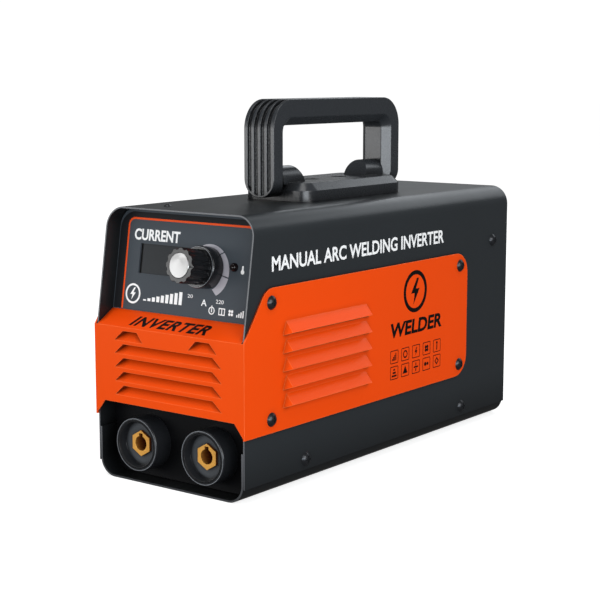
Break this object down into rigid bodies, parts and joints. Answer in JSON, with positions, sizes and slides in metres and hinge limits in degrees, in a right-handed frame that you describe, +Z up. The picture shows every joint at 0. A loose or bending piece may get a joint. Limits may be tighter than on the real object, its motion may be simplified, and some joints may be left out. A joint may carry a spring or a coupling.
{
  "type": "stick welding inverter",
  "caption": "Portable stick welding inverter: bent-sheet case with vented nose, slanted control panel, knob, output sockets, carrying handle and rear fan.",
  "frame": {"origin": "middle of the whole object's footprint, on the surface it stands on", "axes": "+X to the right seen from the front, +Y towards the back, +Z up"},
  "size_m": [0.127, 0.3208, 0.227],
  "materials": {
    "print_white": "white print",
    "print_black": "black print",
    "print_orange": "orange print",
    "print_grey": "light grey print",
    "case_paint": "satin dark grey powder coat",
    "nose_paint": "satin orange powder coat",
    "panel_paint": "satin mid grey powder coat",
    "handle_plastic": "black, fine moulded texture",
    "black_steel": "black oxide screws",
    "zinc_steel": "zinc plated",
    "window_tint": "dark tinted acrylic",
    "display_black": "dark display block",
    "board_green": "green circuit board",
    "pot_body": "black moulded body",
    "knob_black": "glossy black",
    "knob_silver": "spun face",
    "lamp_lens": "dark red lens",
    "socket_plastic": "black insulating moulding",
    "brass": "machined",
    "copper": "plain copper",
    "aluminium": "extruded",
    "package_black": "moulded epoxy",
    "capacitor_sleeve": "printed sleeve",
    "ferrite": "dark sintered ferrite",
    "winding": "enamelled copper wire",
    "relay_case": "blue moulded case",
    "fan_plastic": "black glass-filled plastic",
    "guard_wire": "plated wire",
    "switch_plastic": "black",
    "rocker_red": "red",
    "gland_plastic": "black nylon"
  },
  "bodies": {
    "case": {"bottom_tray": "case_paint", "cover": "case_paint", "nose_grille": "nose_paint", "front_panel": "panel_paint", "rear_panel": "case_paint", "handle_loop": "handle_plastic", "handle_base": "handle_plastic", "handle_screws": "black_steel", "handle_nuts": "zinc_steel", "wing_screws": "black_steel", "clip_nuts": "zinc_steel", "cover_screws": "black_steel", "top_screw": "black_steel", "panel_foot_screws": "zinc_steel", "display_window": "window_tint", "display_module": "display_black", "control_board": "board_green", "control_spacers": "zinc_steel", "potentiometer": "pot_body", "pot_nut": "zinc_steel", "warning_lamp": "lamp_lens", "socket_housing_left": "socket_plastic", "socket_housing_right": "socket_plastic", "socket_insert_left": "brass", "socket_insert_right": "brass", "output_straps": "copper", "socket_nuts": "socket_plastic", "strap_nuts": "zinc_steel", "power_board": "board_green", "board_spacers": "zinc_steel", "board_screws": "zinc_steel", "heatsink_right": "aluminium", "heatsink_left": "aluminium", "power_transistors": "package_black", "output_diodes": "package_black", "device_screws": "zinc_steel", "bulk_capacitors": "capacitor_sleeve", "transformer_core": "ferrite", "transformer_winding": "winding", "bridge_rectifier": "package_black", "soft_start_relay": "relay_case", "driver_card": "board_green", "driver_chips": "package_black", "fan_frame": "fan_plastic", "fan_guard": "guard_wire", "fan_screws": "zinc_steel", "fan_nuts": "zinc_steel", "power_switch": "switch_plastic", "gland_body": "gland_plastic", "gland_dome_nut": "gland_plastic", "gland_lock_nut": "gland_plastic", "earth_stud": "zinc_steel", "earth_washer": "zinc_steel", "earth_nut": "zinc_steel"},
    "knob": {"knob": "knob_black", "knob_cap": "knob_silver", "pot_shaft": "zinc_steel"},
    "rocker": {"switch_rocker": "rocker_red"},
    "fan": {"fan_rotor": "fan_plastic"}
  },
  "joints": [
    {"name": "knob_turn", "type": "hinge", "parent": "case", "child": "knob", "pos_m": [0.0165, -0.13413, 0.13133], "axis": [0, -0.9877, 0.1564], "range_deg": [-60, 240]},
    {"name": "switch_rock", "type": "hinge", "parent": "case", "child": "rocker", "pos_m": [0.027, 0.13042, 0.134], "axis": [1, 0, 0], "range_deg": [0, 18]},
    {"name": "fan_spin", "type": "hinge", "parent": "case", "child": "fan", "pos_m": [0, 0.12242, 0.062], "axis": [0, 1, 0], "continuous": true}
  ]
}
